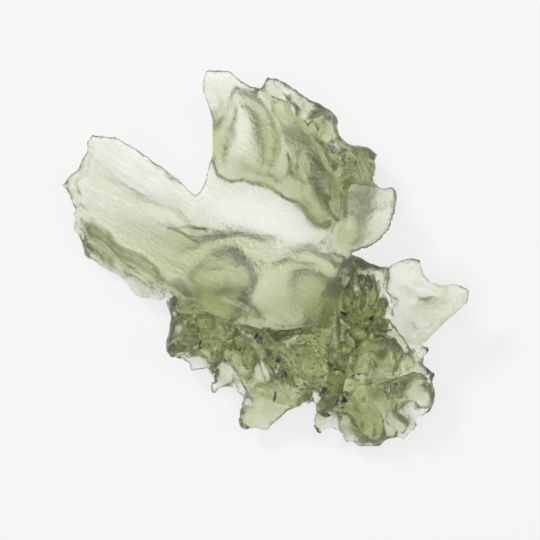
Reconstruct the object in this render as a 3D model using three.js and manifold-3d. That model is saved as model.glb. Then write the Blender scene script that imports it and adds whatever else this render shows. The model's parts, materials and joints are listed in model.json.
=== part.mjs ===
// A raw moldavite: one lump of green natural glass, thrown as a splash and then deeply etched.
// Millimetres, +Z up. The origin is under the middle of the stone, on the surface that it lies on.
//
// The stone is made the way the eye reads it: as leaves of glass that grew into each other. Every leaf has
// a cusped rim, a thin plate bent through a few measured points as its middle, and a thickness of its own.
// Crests are raised on its two skins, and hollows and pits are etched into them. The leaves are joined into
// one body, and its lowest tips are worn flat where the stone lies.
import * as THREE from "three";
import { mergeVertices } from "three/addons/utils/BufferGeometryUtils.js";
import Module from "manifold-3d";

const wasm = await Module();
wasm.setup();

// Driving dimensions
const RIM_STEP = 0.9; // spacing of the points along a rim
const EDGE = 0.36; // thickness of the glass at a rim
const FLUTE = 0.2; // depth of the flute behind a scallop, as a share of the scallop's length
const FLUTE_REACH = 0.6; // how far that flute runs in, as a share of the scallop's length
const LONGEST_FLUTE = 3; // a longer scallop's flute is no deeper than the flute of this length
const PIT_SPREAD = 0.62; // reach of an etched pit, in cells
const PIT_STRAY = 0.32; // how far a pit strays from the middle of its cell, in cells
const CREST_GAP = 0.45; // closest that a point on a crest comes to another point, in pitches
const FIELD_GAP = 0.62; // closest that a point between the crests comes to another point, in pitches
const SWAY = 0.06; // how far those points stray from their even rows, in pitches
const WEAR_BLOCK = 60; // block of table that wears the lowest tips flat at height 0
const WELD = 1e-3; // points closer than this are one point

// ---------------------------------------------------------------- leaves

// The body: the thick lower mass, with the thin right wing on one side.
//   pitch    spacing of the points on the leaf's skins
//   pits     the etched pits that cover the "top" and "bottom" skins: the size of their cells and their depth
//   rim      cusps [x, y, z, bite, lip], where the scallop after a cusp bites that far into the leaf
//   core     inner points [x, y, top, bottom]
//   lip      half the thickness that the rim's border grows to, at each cusp that gives none of its own
//   roll     width of that rounded border
//   crests   raised lines on the "top" or "bottom" skin, of points [x, y, height], wide at their foot
//   hollows  etched bowls [x, y, rx, ry, turn in degrees, depth]
//   calms    places [x, y, reach] where the pits fade out
const body = {
  pitch: 0.68,
  pits: { top: { cell: 2.1, depth: 0.45 }, bottom: { cell: 3.0, depth: 1.1 } },
  lip: 0.9,
  roll: 1.7,
  rim: [
    [-10.2, -4.2, 4.6, 0.3],
    [-9.7, -6.5, 4.0, 0.1],
    [-9.4, -9.2, 3.4, 0.4],
    [-7.5, -11.3, 2.6, 0.1],
    [-4.8, -10.6, 3.2, 0.0],
    [-5.3, -13.2, 2.4, 0.25],
    [-3.0, -13.1, 2.8, 0.1],
    [-2.0, -14.7, 2.8, 0.2],
    [-2.3, -16.5, 2.1, 0.1],
    [0.2, -17.3, 1.9, 0.35],
    [4.8, -14.2, 3.0, 0.1],
    [5.4, -17.5, 2.2, 0.2],
    [6.7, -16.9, 2.2, 0.0],
    [9.6, -19.0, 1.8, 0.1],
    [11.0, -19.0, 1.8, 0.45],
    [14.2, -18.1, 2.0, 0.25],
    [15.5, -16.8, 2.4, 0.1],
    [15.2, -15.8, 2.8, 0.0],
    [16.5, -15.5, 2.8, 0.0],
    [17.2, -14.0, 3.0, -0.1],
    [17.0, -12.2, 3.4, 0.1],
    [15.9, -10.2, 4.0, 0.0],
    [16.3, -9.3, 4.3, 0.15],
    [15.8, -8.4, 4.5, 0.1],
    [14.2, -8.7, 4.8, 0.1],
    [13.2, -6.9, 5.0, 0.15],
    [12.7, -5.0, 5.2, 0.0],
    [13.5, -3.9, 5.5, 0.15],
    [12.3, -3.1, 5.6, 0.0],
    [12.6, -1.6, 5.7, 0.0],
    [12.4, -0.4, 5.8, 0.1],
    [11.3, -0.6, 5.8, 0.1],
    [10.3, 0.0, 6.2, 0.1],
    [9.4, 0.5, 6.6, 0.1],
    [7.4, 1.0, 8.4, 0.0, 0.3],
    [5.0, 0.2, 8.5, 0.2, 0.3],
    [2.4, 0.6, 8.3, 0.1, 0.3],
    [0.9, 1.9, 7.9, 0.1, 0.4],
    [-0.5, 1.6, 7.7, 0.1, 0.5],
    [-2.6, 2.2, 7.5, 0.1, 0.5],
    [-5.4, 1.7, 7.2, 0.0, 0.5],
    [-7.4, 0.6, 6.9, 0.1, 0.4],
    [-9.6, -1.6, 6.4, 0.2, 0.4],
  ],
  core: [
    [-8.2, -6.6, 7.0, 0.9],
    [-8.0, -2.4, 7.5, 4.6],
    [-5.4, -2.0, 8.5, 4.4],
    [-5.2, -6.6, 7.2, 1.2],
    [-6.2, -9.2, 5.0, 1.4],
    [-3.6, -9.4, 6.0, 1.6],
    [-3.6, -11.9, 4.2, 1.4],
    [-0.5, -8.6, 6.4, 1.5],
    [0.6, -12.8, 4.8, 1.2],
    [0.6, -15.6, 4.3, 0.8],
    [3.6, -8.4, 6.3, 1.3],
    [3.6, -10.8, 5.7, 1.3],
    [3.4, -13.4, 4.2, 0.8],
    [0.0, -3.0, 9.2, 7.4],
    [-1.0, -5.7, 8.2, 5.8],
    [3.4, -5.8, 8.2, 5.4],
    [5.0, -3.4, 9.2, 6.0],
    [7.0, -7.0, 7.4, 1.8],
    [6.8, -11.0, 6.6, 0.9],
    [6.2, -14.4, 4.9, 1.0],
    [9.4, -12.0, 5.4, 0.9],
    [9.2, -15.6, 4.6, 0.5],
    [11.2, -16.2, 4.0, -0.4],
    [13.2, -13.8, 5.2, 0.8],
    [14.8, -13.6, 4.4, 1.6],
    [12.4, -9.2, 7.0, 1.6],
    [10.0, -8.4, 7.2, 1.6],
    [9.8, -3.6, 8.1, 2.2],
    [11.6, -4.6, 7.2, 3.2],
    [0.8, 0.2, 9.0, 7.6],
    [-4.2, 0.2, 8.5, 4.0],
    [-2.2, 0.2, 8.8, 6.0],
  ],
  crests: {
    top: [
      {
        wide: 1.0,
        line: [
          [5.4, -17.2, 0.2],
          [5.8, -15.4, 1.0],
          [6.6, -12.8, 1.5],
          [7.2, -10.0, 1.6],
          [7.0, -7.4, 1.3],
          [7.2, -5.6, 0.6],
        ],
      },
      {
        wide: 0.8,
        line: [
          [7.4, -9.0, 0.9],
          [8.5, -7.9, 1.1],
          [9.7, -6.7, 1.1],
          [11.0, -6.1, 1.0],
          [12.1, -6.5, 0.9],
          [13.4, -8.4, 0.8],
          [14.2, -9.4, 0.9],
          [14.2, -11.0, 0.6],
        ],
      },
      {
        wide: 0.7,
        line: [
          [7.3, -11.4, 1.2],
          [8.4, -10.3, 1.0],
          [8.8, -8.9, 0.9],
          [10.2, -8.5, 1.0],
          [11.0, -9.2, 0.5],
        ],
      },
      {
        wide: 0.9,
        line: [
          [-2.5, -6.7, 0.7],
          [-0.7, -7.8, 1.2],
          [0.9, -9.5, 1.4],
          [1.8, -11.3, 1.3],
          [2.4, -12.9, 1.0],
          [4.4, -14.1, 0.4],
        ],
      },
      {
        wide: 0.7,
        line: [
          [-4.7, -10.8, 0.4],
          [-4.5, -9.3, 1.1],
          [-3.4, -8.5, 1.2],
          [-2.3, -9.2, 1.1],
          [-1.9, -10.9, 0.9],
          [-1.2, -12.9, 0.4],
        ],
      },
      {
        wide: 0.7,
        line: [
          [-1.6, -13.5, 0.3],
          [-0.4, -13.2, 0.8],
          [1.4, -13.8, 0.8],
          [3.2, -14.3, 0.4],
        ],
      },
      {
        wide: 0.7,
        line: [
          [10.9, -13.5, 0.7],
          [11.8, -12.7, 0.9],
          [13.1, -12.8, 0.9],
          [14.1, -12.0, 0.8],
          [16.2, -11.9, 0.3],
        ],
      },
      {
        wide: 0.7,
        line: [
          [5.9, -15.1, 0.6],
          [6.8, -14.0, 0.9],
          [8.0, -14.0, 1.0],
          [9.0, -14.8, 0.9],
          [9.6, -16.4, 0.7],
          [10.6, -17.6, 0.3],
        ],
      },
      {
        wide: 0.7,
        line: [
          [-7.0, -5.2, 0.4],
          [-7.2, -6.6, 0.8],
          [-7.5, -7.8, 0.9],
          [-8.9, -8.7, 0.4],
        ],
      },
      {
        wide: 0.7,
        line: [
          [-8.8, -8.9, 0.3],
          [-6.9, -8.7, 0.9],
          [-5.2, -8.8, 0.9],
          [-4.9, -9.8, 0.4],
        ],
      },
      {
        wide: 0.6,
        line: [
          [-4.2, -6.3, 0.3],
          [-3.4, -7.4, 0.6],
          [-2.6, -6.7, 0.5],
        ],
      },
      {
        wide: 0.8,
        line: [
          [9.3, -0.4, 0.4],
          [9.4, -2.6, 1.0],
          [8.9, -5.2, 0.8],
        ],
      },
    ],
    bottom: [
      {
        wide: 0.9,
        line: [
          [1.2, -7.4, 0.4],
          [3.2, -8.3, 0.9],
          [5.2, -8.6, 0.9],
          [6.6, -9.8, 0.5],
        ],
      },
      {
        wide: 0.9,
        line: [
          [2.0, -10.4, 0.5],
          [4.0, -11.0, 0.9],
          [5.6, -12.2, 0.6],
        ],
      },
      {
        wide: 1.5,
        line: [
          [-8.0, -8.0, 0.6],
          [-3.0, -7.4, 1.0],
          [3.0, -9.4, 0.5],
          [8.0, -12.4, 0.6],
          [11.2, -16.2, 0.3],
        ],
      },
      {
        wide: 1.4,
        line: [
          [4.4, -7.4, 0.5],
          [6.0, -6.2, 0.9],
          [9.0, -3.0, 0.8],
        ],
      },
    ],
  },
  hollows: {
    top: [
      [3.6, -10.0, 2.0, 3.2, 20, 0.9],
      [3.3, -8.1, 1.4, 0.9, 0, 1.1],
      [4.7, -13.4, 1.1, 1.8, 20, 1.0],
      [9.7, -9.8, 1.1, 0.8, 10, 1.1],
      [9.6, -11.8, 1.3, 0.8, 0, 1.2],
      [8.0, -12.8, 1.1, 0.8, 30, 1.1],
      [7.4, -15.9, 1.3, 1.3, 0, 1.3],
      [12.1, -15.6, 1.8, 1.6, 0, 1.0],
      [14.9, -14.2, 1.6, 1.6, 0, 0.9],
      [12.3, -9.8, 1.3, 1.8, 0, 0.8],
      [10.9, -7.4, 1.6, 0.8, -15, 1.0],
      [-3.3, -10.8, 0.9, 1.6, 0, 1.4],
      [-0.6, -10.4, 1.2, 3.0, 18, 1.0],
      [-8.4, -7.0, 0.9, 1.4, 0, 0.8],
      [-5.3, -7.3, 1.6, 1.2, 0, 0.9],
      [-6.8, -10.0, 1.9, 1.0, 0, 0.9],
      [-0.4, -15.3, 2.0, 1.3, -15, 0.5],
      [2.6, -15.2, 1.6, 1.0, 35, 0.4],
      [11.0, -2.4, 1.3, 1.8, 0, 1.2],
      [8.1, -3.6, 0.8, 2.6, 0, 1.5],
    ],
    bottom: [
      [-3.9, -0.7, 1.4, 0.8, -10, 0.9],
      [-1.2, -11.6, 3.0, 2.4, 0, 1.2],
      [4.6, -14.0, 2.2, 1.8, 20, 0.8],
      [8.2, -8.2, 2.2, 2.2, 0, 1.2],
      [12.6, -11.6, 2.2, 2.4, 0, 1.6],
      [12.6, -5.6, 2.4, 2.6, 0, 1.2],
      [-7.2, -9.8, 1.4, 1.0, 0, 0.7],
      [14.2, -15.4, 1.6, 1.6, 0, 0.7],
      [-4.6, -9.2, 1.4, 1.0, 0, 0.8],
    ],
  },
  calms: [
    [-1.4, -9.6, 2.2],
    [-0.2, -12.0, 2.2],
    [0.6, -15.8, 2.4],
    [-6.6, -10.6, 1.8],
    [-3.6, -11.8, 1.8],
    [12.3, -9.6, 1.8],
  ],
};

// The right wing: a thin pale leaf that runs out of the body.
const wing = {
  pitch: 0.8,
  pits: { top: { cell: 2.2, depth: 0.06 }, bottom: { cell: 2.2, depth: 0.06 } },
  lip: 0.34,
  roll: 0.8,
  rim: [
    [12.0, -0.5, 6.4, 0.0],
    [14.5, 0.3, 6.5, 0.1],
    [15.5, 0.1, 6.5, 0.1],
    [15.8, -1.6, 6.3, 0.15],
    [17.5, -2.5, 6.2, 0.2],
    [18.9, -2.3, 6.3, 0.1],
    [20.5, -2.9, 6.3, 0.0],
    [20.3, -4.4, 5.9, 0.1],
    [18.9, -5.3, 5.6, 0.1],
    [17.5, -6.6, 5.1, 0.15],
    [15.9, -8.3, 4.6, 0.1],
    [14.3, -9.0, 4.4, 0.0],
    [12.4, -7.0, 5.0, 0.0],
    [11.4, -3.0, 6.0, 0.0],
  ],
  core: [
    [14.4, -2.4, 6.8, 6.2],
    [16.4, -3.0, 6.6, 6.0],
    [17.2, -4.8, 6.3, 5.2],
    [19.0, -3.8, 6.4, 5.7],
    [14.6, -6.0, 6.1, 5.4],
  ],
  crests: {
    top: [
      {
        wide: 0.7,
        line: [
          [15.4, -4.3, 0.2],
          [17.0, -4.0, 0.4],
          [17.8, -3.1, 0.3],
        ],
      },
      {
        wide: 0.6,
        line: [
          [14.6, -8.3, 0.3],
          [16.0, -7.2, 0.4],
          [17.6, -5.7, 0.3],
          [19.2, -4.4, 0.2],
        ],
      },
    ],
    bottom: [
      {
        wide: 0.8,
        line: [
          [13.6, -3.0, 0.4],
          [16.0, -4.8, 0.4],
          [18.8, -3.8, 0.2],
        ],
      },
    ],
  },
  hollows: { top: [], bottom: [] },
  calms: [],
};

// The shell: the broad upper leaf, with a wing to the left and a tower away from the body.
const shell = {
  pitch: 0.92,
  pits: { top: { cell: 2.6, depth: 0.06 }, bottom: { cell: 2.6, depth: 0.08 } },
  lip: 0.42,
  roll: 1.0,
  rim: [
    [-6.9, 6.5, 8.0, 0.1],
    [-6.0, 8.2, 8.2, 0.1],
    [-5.4, 11.0, 8.6, 0.0],
    [-5.4, 13.8, 8.9, 0.15],
    [-6.5, 17.2, 9.2, 0.0],
    [-6.0, 19.0, 9.4, 0.0],
    [-3.5, 19.0, 9.7, 0.45],
    [-0.3, 17.2, 10.1, 0.0],
    [2.0, 15.8, 10.4, 0.0],
    [5.6, 11.6, 10.6, 0.0],
    [7.2, 8.0, 10.6, 0.0],
    [7.5, 4.0, 10.2, 0.0],
    [8.5, 0.4, 9.2, 0.1],
    [8.1, -1.2, 8.7, 0.0],
    [7.5, -4.4, 8.0, -0.1],
    [6.8, -6.0, 7.8, -0.1],
    [5.4, -6.6, 7.7, 0.0],
    [2.0, -7.0, 7.6, 0.0],
    [-0.4, -6.7, 7.6, -0.1],
    [-4.3, -6.0, 7.4, -0.1],
    [-8.4, -4.2, 6.8, 0.0],
    [-11.5, -2.1, 6.2, 0.0],
    [-14.8, -0.2, 5.6, 0.0],
    [-17.8, 2.2, 5.0, 0.1],
    [-19.2, 4.8, 5.2, 0.25],
    [-20.5, 7.6, 6.0, 0.2],
    [-18.5, 9.9, 6.6, 0.05],
    [-17.8, 10.6, 6.8, 0.1],
    [-17.9, 12.0, 7.2, 0.0],
    [-17.4, 12.7, 7.3, 0.05],
    [-14.8, 12.4, 7.6, 0.1],
    [-12.2, 10.8, 7.8, 0.0],
    [-8.5, 8.0, 8.0, 0.1],
  ],
  core: [
    [0.0, 4.2, 8.5, 7.9],
    [-1.8, 7.2, 8.6, 8.0],
    [1.6, 6.3, 8.9, 8.3],
    [4.0, 4.7, 9.3, 8.6],
    [-5.0, 4.6, 8.2, 7.6],
    [4.6, 2.4, 9.2, 8.5],
    [-0.5, -3.0, 9.9, 7.6],
    [-5.5, -2.0, 9.0, 5.8],
    [5.0, -3.0, 9.9, 6.4],
    [-1.2, -5.4, 9.3, 7.2],
    [3.6, -5.6, 9.3, 6.8],
    [-2.0, 13.0, 10.2, 8.4],
    [-5.2, 15.8, 9.3, 8.8],
    [2.2, 12.6, 11.0, 8.6],
    [-3.0, 9.4, 9.6, 8.2],
    [0.6, 9.0, 10.0, 8.4],
    [3.6, 8.6, 10.8, 8.8],
    [6.0, 5.4, 11.2, 7.6],
    [5.0, 10.2, 11.3, 8.6],
    [-14.5, 7.6, 7.2, 6.6],
    [-10.0, 4.6, 7.8, 7.2],
    [-13.0, 2.6, 7.3, 5.3],
    [-17.8, 7.2, 6.5, 5.6],
    [-10.4, 0.4, 7.9, 5.3],
  ],
  crests: {
    top: [
      {
        wide: 1.2,
        line: [
          [-18.6, 4.0, 0.2],
          [-15.2, 0.9, 0.7],
          [-11.6, -1.3, 0.9],
          [-8.6, -3.2, 0.7],
        ],
      },
      {
        wide: 1.0,
        line: [
          [-11.0, 3.6, 0.2],
          [-9.6, 2.6, 0.6],
          [-7.0, 2.0, 0.4],
        ],
      },
      {
        wide: 1.1,
        line: [
          [0.6, 16.4, 0.4],
          [3.4, 14.0, 0.7],
          [5.6, 11.2, 0.8],
          [7.0, 8.0, 0.8],
          [7.2, 4.4, 0.5],
        ],
      },
      {
        wide: 0.9,
        line: [
          [-4.6, 17.6, 0.2],
          [-3.9, 15.4, 0.4],
          [-4.3, 12.4, 0.4],
          [-5.0, 9.6, 0.3],
        ],
      },
    ],
    bottom: [
      {
        wide: 0.9,
        line: [
          [-9.0, -0.2, 0.3],
          [-7.2, 1.0, 0.8],
          [-5.4, 1.6, 1.0],
          [-2.6, 2.2, 1.0],
          [-0.4, 1.5, 0.9],
          [1.0, 1.9, 0.5],
        ],
      },
      {
        wide: 0.9,
        line: [
          [2.6, 0.2, 0.4],
          [4.4, 0.5, 0.8],
          [6.4, -0.1, 0.9],
          [7.3, -1.6, 0.5],
        ],
      },
      {
        wide: 0.9,
        line: [
          [-4.0, 16.4, 0.4],
          [-3.9, 13.4, 1.0],
          [-4.6, 10.9, 0.8],
          [-4.2, 9.5, 0.8],
          [-2.4, 9.3, 0.8],
          [-0.2, 8.7, 1.0],
          [2.2, 7.6, 1.0],
          [4.2, 6.0, 1.1],
          [6.0, 4.2, 1.2],
        ],
      },
      {
        wide: 1.0,
        line: [
          [-2.6, 16.2, 0.6],
          [-0.5, 15.2, 1.0],
          [0.3, 13.0, 1.2],
          [0.6, 10.8, 0.8],
          [-0.2, 8.7, 0.7],
        ],
      },
      {
        wide: 1.2,
        line: [
          [2.6, 14.4, 0.4],
          [4.0, 11.6, 0.9],
          [3.8, 9.0, 1.0],
          [3.6, 6.4, 0.9],
        ],
      },
      {
        wide: 1.1,
        line: [
          [-16.6, 8.6, 0.4],
          [-12.6, 5.8, 0.5],
          [-9.2, 4.8, 0.5],
        ],
      },
    ],
  },
  hollows: {
    top: [
      [-0.4, 4.0, 6.2, 4.4, -16, 0.3],
      [-1.8, 13.0, 1.9, 2.8, 0, 0.35],
      [-4.6, -0.9, 2.4, 1.4, 10, 0.45],
    ],
    bottom: [
      [-5.3, 14.6, 0.9, 2.8, 0, 0.5],
      [-2.0, 12.6, 1.8, 2.6, 0, 0.6],
      [2.0, 11.6, 1.3, 2.6, -10, 0.6],
      [-3.0, 9.9, 1.2, 0.9, 0, 0.4],
      [-13.2, 8.2, 3.6, 2.2, -35, 0.3],
    ],
  },
  calms: [],
};

// The ledge: the outer face of the wing, which curls down to the table beyond its lower crest.
const ledge = {
  pitch: 0.74,
  pits: { top: { cell: 1.7, depth: 0.14 }, bottom: { cell: 2.2, depth: 0.4 } },
  lip: 0.6,
  roll: 1.0,
  rim: [
    [-18.8, 5.6, 5.2, 0.0],
    [-19.5, 4.8, 4.6, 0.1],
    [-19.2, 4.0, 4.0, 0.2],
    [-19.6, 3.1, 3.4, 0.35],
    [-18.6, 1.1, 2.2, 0.1],
    [-18.4, 0.2, 1.6, 0.25],
    [-16.5, -0.7, 1.4, 0.2],
    [-14.5, -2.0, 1.8, 0.2],
    [-13.6, -3.3, 1.8, 0.1],
    [-13.0, -3.8, 1.9, 0.1],
    [-10.3, -4.2, 3.2, 0.0],
    [-8.4, -2.4, 6.6, 0.0, 0.3],
    [-11.0, -0.4, 6.6, 0.0, 0.3],
    [-14.6, 1.9, 6.2, 0.0, 0.3],
    [-17.8, 4.8, 5.4, 0.0, 0.3],
  ],
  core: [
    [-17.6, 1.8, 4.0, 0.6],
    [-17.0, 0.5, 2.8, -0.4],
    [-14.8, -0.6, 4.2, 1.2],
    [-13.2, -2.6, 3.0, 1.3],
    [-11.0, -2.2, 5.6, 3.6],
    [-17.8, 3.0, 5.2, 3.2],
    [-13.6, 0.0, 5.8, 3.6],
  ],
  crests: {
    top: [
      {
        wide: 0.7,
        line: [
          [-18.2, 1.6, 0.3],
          [-15.6, -0.6, 0.5],
          [-12.6, -2.8, 0.5],
        ],
      },
    ],
    bottom: [
      {
        wide: 0.9,
        line: [
          [-17.8, 0.8, 0.4],
          [-15.0, -0.6, 0.5],
          [-11.6, -2.4, 0.4],
        ],
      },
    ],
  },
  hollows: {
    top: [[-13.8, -0.6, 3.4, 0.8, -33, 0.8]],
    bottom: [[-14.6, 0.6, 2.2, 0.9, -33, 0.5]],
  },
  calms: [],
};

// The flank: the sculpted outer side that falls away from the shell's right crest, down to a foot.
const flank = {
  pitch: 0.68,
  pits: { top: { cell: 1.8, depth: 0.3 }, bottom: { cell: 2.4, depth: 0.6 } },
  lip: 0.9,
  roll: 1.2,
  rim: [
    [-1.4, 16.4, 9.4, 0.0],
    [0.2, 18.2, 9.0, 0.1],
    [2.7, 17.4, 8.4, 0.15],
    [3.5, 16.6, 8.2, 0.2],
    [5.4, 16.0, 7.6, 0.1],
    [6.8, 15.0, 7.0, 0.0],
    [7.5, 14.3, 6.8, 0.15],
    [7.6, 12.4, 6.2, 0.1],
    [8.7, 11.7, 5.6, 0.1],
    [10.3, 11.7, 4.8, -0.1],
    [11.5, 10.7, 4.0, 0.15],
    [11.0, 9.0, 3.8, 0.15],
    [10.9, 8.0, 4.6, 0.2],
    [12.4, 7.0, 6.6, 0.2],
    [8.0, 2.4, 9.2, 0.0, 0.4],
    [3.4, 5.6, 9.2, 0.0, 0.3],
    [-0.6, 12.6, 9.5, 0.0, 0.3],
  ],
  core: [
    [3.2, 15.0, 9.6, 6.8],
    [5.6, 13.4, 9.0, 5.0],
    [7.4, 10.4, 8.8, 2.8],
    [9.0, 10.4, 6.8, 1.0],
    [9.9, 9.4, 5.6, -0.4],
    [9.6, 8.0, 7.6, 0.9],
    [8.4, 8.6, 8.6, 1.6],
    [7.8, 6.0, 9.8, 6.4],
    [4.4, 10.4, 10.6, 7.8],
  ],
  crests: {
    top: [
      {
        wide: 0.7,
        line: [
          [1.4, 15.2, 0.5],
          [2.6, 16.0, 0.7],
          [2.9, 17.0, 0.2],
        ],
      },
      {
        wide: 0.7,
        line: [
          [3.6, 13.8, 0.6],
          [5.4, 14.4, 0.9],
          [7.0, 14.4, 0.3],
        ],
      },
      {
        wide: 0.7,
        line: [
          [5.8, 11.6, 0.8],
          [8.0, 11.3, 1.0],
          [10.4, 11.3, 0.4],
        ],
      },
      {
        wide: 0.7,
        line: [
          [6.8, 9.6, 0.8],
          [8.6, 10.1, 0.9],
          [10.6, 9.8, 0.3],
        ],
      },
      {
        wide: 0.7,
        line: [
          [7.2, 8.0, 0.7],
          [9.2, 8.6, 1.0],
          [10.8, 8.3, 0.3],
        ],
      },
    ],
    bottom: [
      {
        wide: 1.0,
        line: [
          [3.0, 12.6, 0.5],
          [5.6, 11.6, 1.0],
          [7.8, 10.8, 1.3],
          [9.8, 9.6, 0.4],
        ],
      },
      {
        wide: 0.9,
        line: [
          [9.8, 9.4, 0.4],
          [9.2, 7.4, 1.2],
          [8.4, 5.6, 0.8],
          [7.6, 4.0, 0.4],
        ],
      },
      {
        wide: 0.8,
        line: [
          [10.0, 9.7, 0.4],
          [10.8, 10.9, 0.8],
        ],
      },
    ],
  },
  hollows: {
    top: [
      [1.2, 16.6, 1.1, 0.9, -20, 0.5],
      [4.2, 15.3, 1.1, 0.8, -35, 0.7],
      [7.0, 12.8, 1.1, 1.1, 0, 0.9],
      [8.2, 10.6, 1.4, 0.6, 0, 0.7],
      [10.4, 10.4, 0.8, 0.6, 0, 0.5],
      [8.8, 9.3, 1.4, 0.5, 0, 0.6],
      [9.0, 7.4, 1.3, 0.8, 0, 0.8],
    ],
    bottom: [
      [4.6, 14.6, 1.6, 1.2, -35, 0.5],
      [7.6, 8.8, 1.5, 1.3, 0, 1.5],
      [9.1, 11.1, 0.9, 0.9, 0, 0.9],
      [10.8, 8.7, 0.8, 0.9, 0, 0.8],
    ],
  },
  calms: [],
};

// The right petal: a rounded frosted leaf that lifts in front of the shell's right side.
const petal = {
  pitch: 0.8,
  pits: { top: { cell: 2.0, depth: 0.08 }, bottom: { cell: 2.0, depth: 0.14 } },
  lip: 0.55,
  roll: 0.9,
  rim: [
    [8.6, 7.8, 9.6, 0.1],
    [10.8, 7.4, 9.9, 0.1],
    [12.7, 7.2, 10.1, -0.1],
    [13.0, 6.1, 10.2, 0.1],
    [12.6, 4.8, 10.3, 0.05],
    [12.2, 3.4, 10.3, 0.1],
    [11.4, 2.3, 10.2, 0.1],
    [10.3, 1.5, 10.0, 0.15],
    [9.0, 1.0, 9.7, 0.05],
    [8.4, 0.4, 9.4, 0.0],
    [6.6, -0.6, 9.0, 0.0],
    [6.2, 1.6, 9.6, -0.1],
    [7.2, 4.6, 9.7, -0.15],
    [7.7, 6.4, 9.7, 0.0],
  ],
  core: [
    [9.6, 5.4, 11.2, 9.7],
    [8.6, 2.8, 11.2, 8.8],
    [11.4, 5.0, 10.9, 9.9],
  ],
  crests: {
    top: [
      {
        wide: 0.9,
        line: [
          [8.0, 6.0, 0.2],
          [8.2, 3.6, 0.5],
          [7.4, 0.8, 0.4],
        ],
      },
    ],
    bottom: [
      {
        wide: 0.9,
        line: [
          [12.0, 6.0, 0.4],
          [9.6, 4.8, 0.5],
          [8.0, 2.0, 0.4],
        ],
      },
    ],
  },
  hollows: { top: [[10.6, 4.6, 1.5, 2.0, 0, 0.35]], bottom: [] },
  calms: [],
};

// ---------------------------------------------------------------- a leaf's form

// The rim as a closed ring of points, counterclockwise, with each scallop as a parabola.
function rimPoints(cusps) {
  const ring = cusps.map(([x, y]) => new THREE.Vector2(x, y));
  const inward = Math.sign(THREE.ShapeUtils.area(ring)); // 1 where the cusps run counterclockwise
  const points = cusps.flatMap(([x, y, , bite], i) => {
    const [nextX, nextY] = cusps[(i + 1) % cusps.length];
    const run = Math.hypot(nextX - x, nextY - y);
    const count = Math.max(1, Math.round(run / RIM_STEP));
    return Array.from({ length: count }, (_, k) => {
      const t = k / count;
      const dip = (bite * 4 * t * (1 - t) * inward) / run;
      return new THREE.Vector2(
        x + (nextX - x) * t - (nextY - y) * dip,
        y + (nextY - y) * t + (nextX - x) * dip,
      );
    });
  });
  return inward < 0 ? points.reverse() : points;
}

// A shallow flute runs in from the middle of every scallop, on both skins.
function flutes(cusps) {
  return cusps.flatMap(([x, y, , bite], i) => {
    const [nextX, nextY] = cusps[(i + 1) % cusps.length];
    const run = Math.hypot(nextX - x, nextY - y);
    if (bite <= 0) return [];
    const reach = run * FLUTE_REACH;
    return [[(x + nextX) / 2, (y + nextY) / 2, reach, reach, 0, FLUTE * Math.min(run, LONGEST_FLUTE)]];
  });
}

// The height of a thin plate that is bent to pass through the knots [x, y, z].
function plateThrough(knots) {
  const bend = (dx, dy) => {
    const square = dx * dx + dy * dy;
    return square > 0 ? square * Math.log(square) : 0;
  };
  const count = knots.length;
  const rows = knots.map(([x, y, z]) => [...knots.map(([kx, ky]) => bend(x - kx, y - ky)), 1, x, y, z]);
  rows.push([...knots.map(() => 1), 0, 0, 0, 0]);
  rows.push([...knots.map(([x]) => x), 0, 0, 0, 0]);
  rows.push([...knots.map(([, y]) => y), 0, 0, 0, 0]);
  rows.forEach((_, column) => {
    let pivot = column;
    for (let r = column; r < rows.length; r++) {
      if (Math.abs(rows[r][column]) > Math.abs(rows[pivot][column])) pivot = r;
    }
    [rows[column], rows[pivot]] = [rows[pivot], rows[column]];
    for (let r = 0; r < rows.length; r++) {
      if (r === column) continue;
      const share = rows[r][column] / rows[column][column];
      for (let c = column; c < rows[r].length; c++) rows[r][c] -= share * rows[column][c];
    }
  });
  const weight = rows.map((row, i) => row[count + 3] / row[i]);
  return (x, y) => {
    let z = weight[count] + weight[count + 1] * x + weight[count + 2] * y;
    knots.forEach(([kx, ky], i) => (z += weight[i] * bend(x - kx, y - ky)));
    return z;
  };
}

// How near the point (x, y) is to the segment from a to b, and how far along it.
function nearest(x, y, a, b) {
  const run = [b[0] - a[0], b[1] - a[1]];
  const along = ((x - a[0]) * run[0] + (y - a[1]) * run[1]) / (run[0] ** 2 + run[1] ** 2);
  const t = THREE.MathUtils.clamp(along, 0, 1);
  return { t, distance: Math.hypot(x - a[0] - run[0] * t, y - a[1] - run[1] * t) };
}

function rimDistance(x, y, rim) {
  return Math.min(
    ...rim.map((p, i) => {
      const q = rim[(i + 1) % rim.length];
      return nearest(x, y, [p.x, p.y], [q.x, q.y]).distance;
    }),
  );
}

function isInside(x, y, rim) {
  let inside = false;
  rim.forEach((p, i) => {
    const q = rim[(i + 1) % rim.length];
    if (p.y > y !== q.y > y && x < p.x + ((y - p.y) / (q.y - p.y)) * (q.x - p.x)) inside = !inside;
  });
  return inside;
}

// How high the highest crest stands at (x, y): each is a tent over its line.
function crestHeight(x, y, crests) {
  let height = 0;
  for (const { wide, line } of crests) {
    for (let i = 0; i + 1 < line.length; i++) {
      const { t, distance } = nearest(x, y, line[i], line[i + 1]);
      const peak = line[i][2] + (line[i + 1][2] - line[i][2]) * t;
      height = Math.max(height, peak * (1 - distance / wide));
    }
  }
  return height;
}

// How deep the deepest hollow goes at (x, y): each is a bowl with a sharp brink.
function hollowDepth(x, y, hollows) {
  let depth = 0;
  for (const [cx, cy, rx, ry, turn, deep] of hollows) {
    const angle = THREE.MathUtils.degToRad(turn);
    const u = ((x - cx) * Math.cos(angle) + (y - cy) * Math.sin(angle)) / rx;
    const v = ((y - cy) * Math.cos(angle) - (x - cx) * Math.sin(angle)) / ry;
    depth = Math.max(depth, deep * (1 - u * u - v * v));
  }
  return depth;
}

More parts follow.
